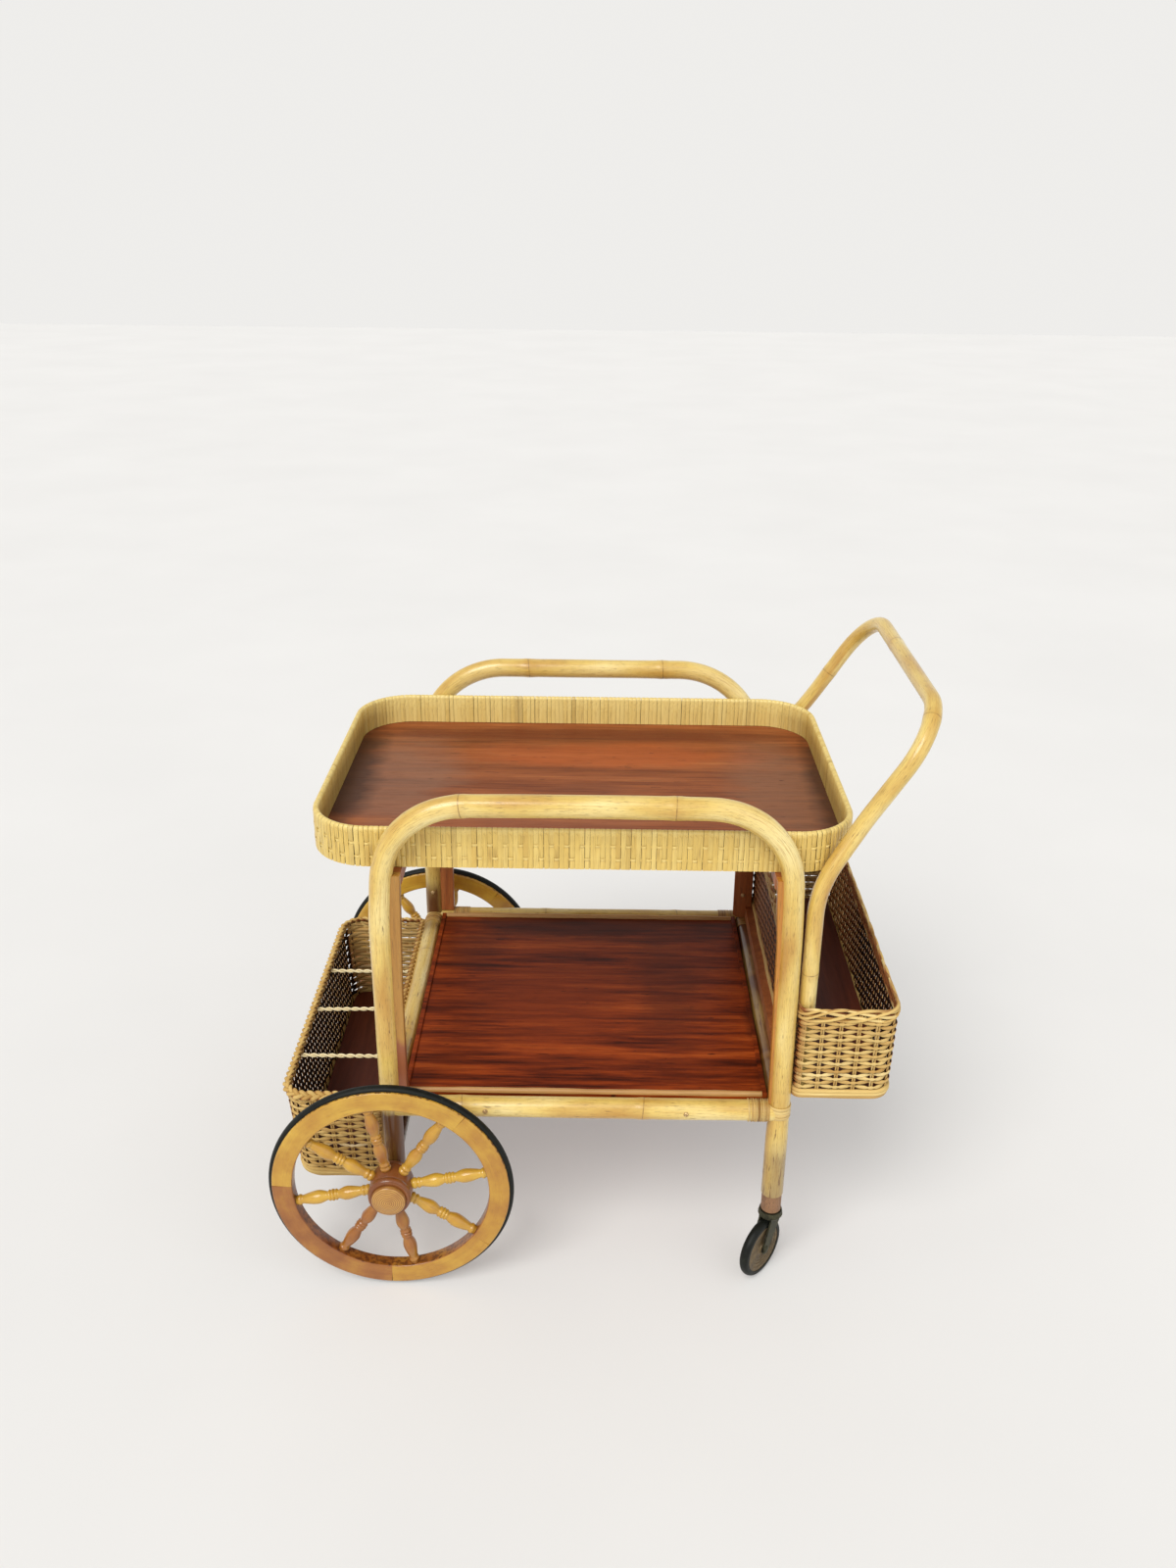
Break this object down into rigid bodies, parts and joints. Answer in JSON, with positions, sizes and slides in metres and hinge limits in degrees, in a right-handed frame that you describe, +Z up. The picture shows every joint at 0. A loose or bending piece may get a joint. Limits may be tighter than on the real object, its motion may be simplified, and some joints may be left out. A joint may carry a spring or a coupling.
{
  "type": "bar cart",
  "caption": "Rattan pole bar cart with lift-off cane tray, wooden shelf, woven basket at each end, spoked wheels, swivel casters and a leaning push handle.",
  "frame": {"origin": "on the floor under the middle of the whole cart, wheels, baskets and handle included", "axes": "+X along the cart towards the push handle, +Y towards the far side, +Z up"},
  "size_m": [0.8534, 0.669, 0.8226],
  "materials": {
    "rattan_pole": "lacquered straw-yellow rattan pole with nodes, satin",
    "woven_cane": "flat split cane woven and wrapped, satin",
    "basket_reed": "round natural reed, open weave, dry matt",
    "teak_veneer": "red-brown teak veneer, semi-gloss lacquer",
    "brown_wood": "brown-stained wood, satin",
    "trim_wood": "light half-round wood trim, satin",
    "wheel_wood": "turned golden-brown lacquered wood, semi-gloss",
    "tyre_rubber": "solid black rubber, matt",
    "axle_steel": "plain steel rod",
    "caster_metal": "dull dark grey-green metal",
    "caster_disc": "brown-grey disc with concentric rings, matt",
    "ferrule_brown": "brown turned ferrule, satin"
  },
  "bodies": {
    "frame": {"hoop_near": "rattan_pole", "hoop_far": "rattan_pole", "shelf_rail_near": "rattan_pole", "shelf_rail_far": "rattan_pole", "cross_rail_left": "rattan_pole", "cross_rail_right": "rattan_pole", "post_near_left": "brown_wood", "post_far_left": "brown_wood", "post_near_right": "brown_wood", "post_far_right": "brown_wood", "basket_ledger": "brown_wood", "tray_bearer_left": "brown_wood", "tray_bearer_right": "brown_wood", "shelf_board": "teak_veneer", "shelf_trim_near": "trim_wood", "shelf_trim_far": "trim_wood", "basket_left_wall": "basket_reed", "basket_left_rim": "basket_reed", "basket_left_floor": "teak_veneer", "basket_right_wall": "basket_reed", "basket_right_rim": "basket_reed", "basket_right_floor": "teak_veneer", "basket_divider_1": "woven_cane", "basket_divider_2": "woven_cane", "basket_divider_3": "woven_cane", "push_handle": "rattan_pole", "axle": "axle_steel", "caster_near_ferrule": "ferrule_brown", "caster_far_ferrule": "ferrule_brown"},
    "tray": {"tray_wall": "woven_cane", "tray_rim": "woven_cane", "tray_floor": "teak_veneer"},
    "wheel_near": {"wheel_near_tyre": "tyre_rubber", "wheel_near_rim": "wheel_wood", "wheel_near_hub": "wheel_wood", "wheel_near_spoke_1": "wheel_wood", "wheel_near_spoke_2": "wheel_wood", "wheel_near_spoke_3": "wheel_wood", "wheel_near_spoke_4": "wheel_wood", "wheel_near_spoke_5": "wheel_wood", "wheel_near_spoke_6": "wheel_wood", "wheel_near_spoke_7": "wheel_wood", "wheel_near_spoke_8": "wheel_wood"},
    "wheel_far": {"wheel_far_tyre": "tyre_rubber", "wheel_far_rim": "wheel_wood", "wheel_far_hub": "wheel_wood", "wheel_far_spoke_1": "wheel_wood", "wheel_far_spoke_2": "wheel_wood", "wheel_far_spoke_3": "wheel_wood", "wheel_far_spoke_4": "wheel_wood", "wheel_far_spoke_5": "wheel_wood", "wheel_far_spoke_6": "wheel_wood", "wheel_far_spoke_7": "wheel_wood", "wheel_far_spoke_8": "wheel_wood"},
    "swivel_near": {"caster_near_fork": "caster_metal"},
    "roller_near": {"caster_near_disc": "caster_disc", "caster_near_tyre": "tyre_rubber"},
    "swivel_far": {"caster_far_fork": "caster_metal"},
    "roller_far": {"caster_far_disc": "caster_disc", "caster_far_tyre": "tyre_rubber"}
  },
  "joints": [
    {"name": "tray_lift", "type": "slide", "parent": "frame", "child": "tray", "axis": [0, 0, 1], "range_m": [0, 0.115]},
    {"name": "wheel_near_spin", "type": "hinge", "parent": "frame", "child": "wheel_near", "pos_m": [-0.263, -0.297, 0.1638], "axis": [0, 1, 0], "continuous": true},
    {"name": "wheel_far_spin", "type": "hinge", "parent": "frame", "child": "wheel_far", "pos_m": [-0.263, 0.304, 0.1638], "axis": [0, 1, 0], "continuous": true},
    {"name": "caster_near_swivel", "type": "hinge", "parent": "frame", "child": "swivel_near", "pos_m": [0.2525, -0.2535, 0.098], "axis": [0, 0, 1], "continuous": true},
    {"name": "caster_near_roll", "type": "hinge", "parent": "swivel_near", "child": "roller_near", "pos_m": [0.23938, -0.26859, 0.0425], "axis": [0.7547, -0.6561, 0], "continuous": true},
    {"name": "caster_far_swivel", "type": "hinge", "parent": "frame", "child": "swivel_far", "pos_m": [0.2525, 0.2535, 0.098], "axis": [0, 0, 1], "continuous": true},
    {"name": "caster_far_roll", "type": "hinge", "parent": "swivel_far", "child": "roller_far", "pos_m": [0.23938, 0.23841, 0.0425], "axis": [0.7547, -0.6561, 0], "continuous": true}
  ]
}
